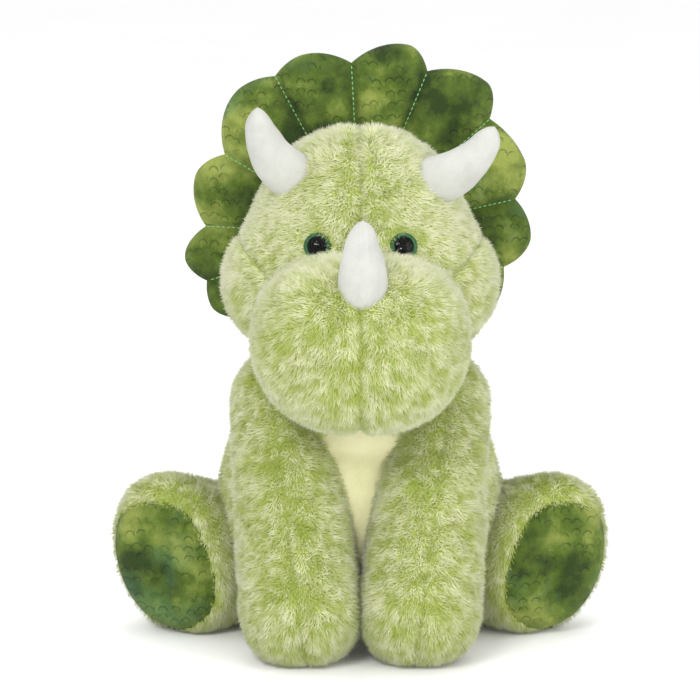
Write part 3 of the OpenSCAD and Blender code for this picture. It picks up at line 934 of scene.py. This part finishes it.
def make_leg(sign):
    side = SIDE_NAME[sign]
    body = "leg_" + side
    middle, out, across, up = sole_frame(sign)
    hip = HIP[sign]
    ball = egg("ball", hip, *[0.0355] * 5)
    foot = disc("foot", middle + out * 0.001, out, across, up, 0.0380, 0.0480, 0.034, 0.015)
    leg = wrap(body + "_skin", [ball, foot])
    floor_flat(leg, 0.001)

    pad_middle = middle + np.array([sign * 0.0055 * math.cos(SOLE_ANGLE),
                                    0.0055 * math.sin(SOLE_ANGLE), -0.005])

    def sole_edge(p):
        d = p - pad_middle
        oval = (np.abs(d @ across / 0.0310) ** 2.4 + np.abs(d @ up / 0.0385) ** 2.4) ** (1 / 2.4)
        return np.where(d @ out > -0.014, (oval - 1) * 0.033, FAR)

    along = unit(middle - hip)

    def seams(p):
        beside = np.cross(along, np.array([0, 0, 1.0]))
        top = np.abs((p - hip) @ unit(beside))
        return nearest(top, np.abs(sole_edge(p)))

    stuff(leg, seams, cap=0.003)
    press_seams(leg, seams, depth=0.002)
    floor_flat(leg, 0.001)
    smooth(leg).data.materials.append(skin_material)
    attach(leg, body)
    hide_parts(body + "_outer_panel", body + "_inner_panel", body + "_stuffing")
    pad = peel(body + "_sole_velour", leg, lambda p: sole_edge(p) < 0.001, 0.0012, 0.0015)
    smooth(pad).data.materials.append(frill_material)
    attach(pad, body)
    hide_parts(body + "_sole_pad")

    def lay(p):
        d = p - middle
        return out * 0.5 + d / 0.08 - np.array([0, 0, 0.5])

    grow_pile(body + "_pile", leg, body, lay, seams, 41 if sign > 0 else 42,
              keep=lambda p: off_floor(p) & (sole_edge(p) > 0) & ~in_torso(p))
    return leg


for sign in (1, -1):
    make_leg(sign)

# %% [markdown]
# ## Tail
# A short cone of plush behind, sewn from a left and a right half.

# %% Tail
_, tail_high = span("tail_left_panel", "tail_right_panel")
tail_root = np.array(joint_at["tail_wag"])
root_ball = egg("root", tail_root, *[0.0247] * 5)
tip_ball = egg("tip", (0, tail_high.y - 0.009, 0.010), *[0.009] * 5)
tail = wrap("tail_skin", [root_ball, tip_ball])


def tail_seams(p):
    return np.abs(p[:, 0])


stuff(tail, tail_seams, cap=0.003)
press_seams(tail, tail_seams, depth=0.0015)
floor_flat(tail, 0.001)
smooth(tail).data.materials.append(skin_material)
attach(tail, "tail")
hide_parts("tail_left_panel", "tail_right_panel", "tail_stuffing")
grow_pile("tail_pile", tail, "tail",
          lambda p: np.stack([0 * p[:, 0], 1 + 0 * p[:, 0], -0.3 + 0 * p[:, 0]], 1),
          tail_seams, 51, keep=lambda p: off_floor(p) & ~in_torso(p))

# %% [markdown]
# ## Frill
# The frill is a flat pillow sewn behind the head. Its outline runs through ten rounded
# scallops, a row of stitches between two scallops pulls front and back together, and it
# leans back a little. It is built as a grid in angle and radius, once for the front and
# once for the back, and the two are welded at the edge.

# %% Frill
FRILL_CENTRE = np.array((0, 0.018, 0.239))
FRILL_ROOT = 0.057
FRILL_LEAN = 0.22
FRILL_THICK = 0.0135
# The outline, going round: the angle and radius of each notch, and of the tip after it
NOTCHES = np.array([(-127, 90), (-109, 97), (-89, 92), (-61, 92), (-29, 104), (-3, 99),
                    (23, 102), (49.5, 101), (79, 94), (105, 89), (126, 89)])
TIPS = np.array([(-118, 101), (-100, 106), (-72, 103), (-41, 110), (-19, 109),
                 (15, 113), (41, 115), (67, 106), (93, 102), (117, 93)])


def frill_outline(angle):
    """The outline's radius at an angle, in metres, and how far to the nearest notch."""
    index = np.clip(np.searchsorted(NOTCHES[:, 0], angle) - 1, 0, len(TIPS) - 1)
    a, b, tip = NOTCHES[index], NOTCHES[index + 1], TIPS[index]
    left = angle < tip[:, 0]
    near = np.where(left[:, None], a, b)
    v = np.abs(angle - tip[:, 0]) / np.maximum(np.abs(near[:, 0] - tip[:, 0]), 1e-6)
    radius = near[:, 1] + (tip[:, 1] - near[:, 1]) * (1 - v.clip(0, 1) ** 1.8)
    apart = np.min(np.abs(angle[:, None] - NOTCHES[None, :, 0]), axis=1)
    return radius / 1000, np.radians(apart)


def on_frill(angle, radius, lift):
    """A point of the frill; lift is its height in front of the middle surface."""
    a = np.radians(angle)
    lean = math.atan(FRILL_LEAN)
    flat = radius * math.cos(lean) + FRILL_ROOT * (1 - math.cos(lean))
    y = FRILL_LEAN * (radius - FRILL_ROOT)
    return np.stack([radius * np.sin(a) + lift * math.sin(lean) * np.sin(a), y - lift,
                     radius * np.cos(a) + lift * math.sin(lean) * np.cos(a)], -1) + FRILL_CENTRE


angle, along = np.meshgrid(np.linspace(-127, 126, 507), np.linspace(0, 1, 61), indexing="ij")
angle, along = angle.ravel(), 1 - (1 - along.ravel()) ** 1.6
edge, apart = frill_outline(angle)
radius = FRILL_ROOT - 0.004 + (edge - FRILL_ROOT + 0.004) * along
channel = 1 - 0.86 * np.exp(-(radius * apart / 0.0028) ** 2)
channel *= 0.72 + 0.28 * np.clip(radius * apart / 0.014, 0, 1)
rim = np.sqrt(np.clip(1 - along ** 7, 0, 1)) * np.sqrt(np.clip(along / 0.03, 0, 1))
ends = np.sqrt(np.clip(np.minimum(angle + 127, 126 - angle) / 1.6, 0, 1))
half = FRILL_THICK / 2 * channel * rim * ends
seat = np.stack([radius * np.sin(np.radians(angle)), 0 * radius,
                 radius * np.cos(np.radians(angle))], 1)
soft = 0.0046 * (noise_at(seat, 0.016, 61) - 0.5) + 0.0016 * (noise_at(seat, 0.006, 62) - 0.5)
sway = 0.005 * (noise_at(seat, 0.05, 63) - 0.5)
wrinkle = soft * channel * rim * ends
front = on_frill(angle, radius, half + wrinkle + sway)
back = on_frill(angle, radius, -half + wrinkle + sway)
rows, cols = 507, 61
grid = np.arange(rows * cols).reshape(rows, cols)
quad = np.stack([grid[:-1, :-1], grid[:-1, 1:], grid[1:, 1:], grid[1:, :-1]], -1).reshape(-1, 4)
mesh = bpy.data.meshes.new("frill")
mesh.from_pydata(np.concatenate([front, back]).tolist(), [],
                 np.concatenate([quad, quad[:, ::-1] + rows * cols]).tolist())
frill = bpy.data.objects.new("frill", mesh)
scene.collection.objects.link(frill)
only(frill)
bpy.ops.object.mode_set(mode="EDIT")
bpy.ops.mesh.select_all(action="SELECT")
bpy.ops.mesh.remove_doubles(threshold=0.00002)
bpy.ops.mesh.normals_make_consistent(inside=False)
bpy.ops.object.mode_set(mode="OBJECT")
smooth(frill).data.materials.append(frill_material)
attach(frill, "head")
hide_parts("frill_front_panel", "frill_back_panel", "frill_wadding")

# %% Stitches along the frill's channels
stitches = []
for notch_angle, notch_radius in NOTCHES[1:-1]:
    reach = np.arange(0.066, notch_radius / 1000 - 0.001, 0.0030)
    spots = on_frill(np.full(len(reach), notch_angle), reach,
                     0.0012 + 0.005 * (noise_at(np.stack(
                         [reach * math.sin(math.radians(notch_angle)), 0 * reach,
                          reach * math.cos(math.radians(notch_angle))], 1), 0.05, 63) - 0.5))
    heading = Vector(spots[-1] - spots[0]).to_track_quat("Z", "Y").to_euler()
    for spot in spots:
        deselect()
        bpy.ops.mesh.primitive_uv_sphere_add(segments=6, ring_count=5, radius=1, location=spot,
                                             rotation=heading)
        stitch = bpy.context.object
        stitch.scale = (0.0004, 0.0004, 0.0011)
        stitches.append(stitch)
deselect()
for stitch in stitches:
    stitch.select_set(True)
bpy.context.view_layer.objects.active = stitches[0]
bpy.ops.object.join()
thread = bpy.context.object
thread.name = "frill_stitches"
bpy.ops.object.transform_apply(location=True, rotation=True, scale=True)
smooth(thread).data.materials.append(thread_material)
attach(thread, "head")

# %% [markdown]
# ## Horns
# Each horn is a bowed cone of ivory velour with one seam along its outer edge, and is
# stuffed firmly. Its foot is sunk in the head, where the pile closes round it.


# %% Horns
def make_horn(name, line, base, tip, seam_to):
    turns, steps = 48, len(line)
    t = np.linspace(0, 1, steps)
    heading = unit(np.gradient(line, axis=0))
    seam = np.array(seam_to, float)
    x_axis = unit(seam - heading * (heading @ seam)[:, None])
    y_axis = np.cross(heading, x_axis)
    radius = horn_radius(t, base, tip)
    radius[0] *= 0.9
    phi = np.linspace(0, 2 * math.pi, turns, endpoint=False)
    off_seam = np.abs((phi + math.pi) % (2 * math.pi) - math.pi)[None] * radius[:, None]
    ridge = 0.00075 * np.exp(-((off_seam - 0.0017) / 0.0010) ** 2)
    groove = 0.0005 * np.exp(-(off_seam / 0.0007) ** 2)
    ring = radius[:, None] + (ridge - groove) * np.clip((1 - t) / 0.1, 0, 1)[:, None]
    co = (line[:, None] + ring[..., None] * (np.cos(phi)[None, :, None] * x_axis[:, None]
                                             + np.sin(phi)[None, :, None] * y_axis[:, None]))
    co = co + 0.0006 * noise_vector(co.reshape(-1, 3), 0.009, 71).reshape(co.shape)
    co = co[:-1].reshape(-1, 3)
    steps -= 1
    low, high = len(co), len(co) + 1
    co = np.concatenate([co, line[:1], line[-1:] + heading[-1:] * 0.0002])
    faces = []
    for i in range(steps - 1):
        for k in range(turns):
            n = (k + 1) % turns
            faces.append((i * turns + k, i * turns + n, (i + 1) * turns + n, (i + 1) * turns + k))
    for k in range(turns):
        n = (k + 1) % turns
        faces.append((low, n, k))
        faces.append((high, (steps - 1) * turns + k, (steps - 1) * turns + n))
    mesh = bpy.data.meshes.new(name + "_velour")
    mesh.from_pydata(co.tolist(), [], faces)
    horn = bpy.data.objects.new(name + "_velour", mesh)
    scene.collection.objects.link(horn)
    only(horn)
    bpy.ops.object.mode_set(mode="EDIT")
    bpy.ops.mesh.select_all(action="SELECT")
    bpy.ops.mesh.normals_make_consistent(inside=False)
    bpy.ops.object.mode_set(mode="OBJECT")
    apply(horn, "SUBSURF", levels=1, render_levels=1)
    smooth(horn).data.materials.append(horn_material)
    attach(horn, "head")
    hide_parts(name + "_cover", name + "_stuffing")
    return horn


for horn_name, (line, base, tip, seam_to) in HORN_LINES.items():
    make_horn(horn_name, line, base, tip, seam_to)

# %% [markdown]
# ## Eyes
# A safety eye is a clear dome over a ring of green glitter and a black pupil, on a black
# base whose stem goes through the cloth to a washer inside.


# %% Eyes
def turned(name, profile, place, out, material, slot, body, *nodes):
    """A closed turned piece from (radius, height) pairs, its axis along out at place."""
    deselect()
    mesh = bpy.data.meshes.new(name)
    edges = [(i, i + 1) for i in range(len(profile) - 1)]
    mesh.from_pydata([(r, 0, h) for r, h in profile], edges, [])
    obj = bpy.data.objects.new(name, mesh)
    scene.collection.objects.link(obj)
    apply(obj, "SCREW", angle=2 * math.pi, steps=64, render_steps=64, axis="Z",
          use_merge_vertices=True, merge_threshold=0.00001)
    only(obj)
    bpy.ops.object.mode_set(mode="EDIT")
    bpy.ops.mesh.select_all(action="SELECT")
    bpy.ops.mesh.remove_doubles(threshold=0.00001)
    bpy.ops.mesh.normals_make_consistent(inside=False)
    bpy.ops.object.mode_set(mode="OBJECT")
    turn = np.array(Vector(out).to_track_quat("Z", "Y").to_matrix())
    put(obj, coords(obj) @ turn.T + place)
    only(obj)
    bpy.ops.object.shade_smooth_by_angle(angle=math.radians(35))
    obj.data.materials.append(material)
    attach(obj, body)
    if nodes:
        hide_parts(*nodes)
    return obj


for sign, (spot, out) in eye_places.items():
    eye = "eye_" + SIDE_NAME[sign]
    r = EYE_RADIUS
    ground = spot - out * 0.0004
    base = [(0, -0.0148), (0.0021, -0.0146), (0.0022, -0.001), (r, -0.0006), (r, 0.0016),
            (0, 0.0016)]
    turned(eye + "_base", base, ground, out, pupil_material, "eye_black", "head",
           eye + "_stem")
    turned(eye + "_glitter", [(0.0046, 0.0017), (r * 0.985, 0.0017), (r * 0.96, 0.0021),
                              (0.0052, 0.0024), (0.0046, 0.0017)], ground, out, glitter_material,
           "eye_glitter", "head", eye + "_iris")
    disc = [(0, 0.0017), (0.0053, 0.0017), (0.0053, 0.0027), (0, 0.0028)]
    turned(eye + "_disc", disc, ground, out, pupil_material, "eye_black", "head",
           eye + "_pupil")
    bend = np.linspace(0, math.pi / 2, 20)
    dome = [(0, 0.0014)] + [(r * 0.985, 0.0014)] + [
        (r * math.cos(a), 0.0032 + 0.0044 * math.sin(a)) for a in bend]
    dome[-1] = (0, dome[-1][1])
    turned(eye + "_dome", dome, ground, out, lens_material, "eye_clear", "head", eye + "_lens")
    low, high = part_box(eye + "_washer")
    middle = np.array((low + high) / 2)
    lock = [(0.0025, 0), (0.0065, 0), (0.0065, 0.0015), (0.0025, 0.0015), (0.0025, 0)]
    turned(eye + "_lock", lock, middle, out, skin_material, "washer_plastic", "head",
           eye + "_washer")


# %% Measure the sizes and finish
low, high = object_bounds()
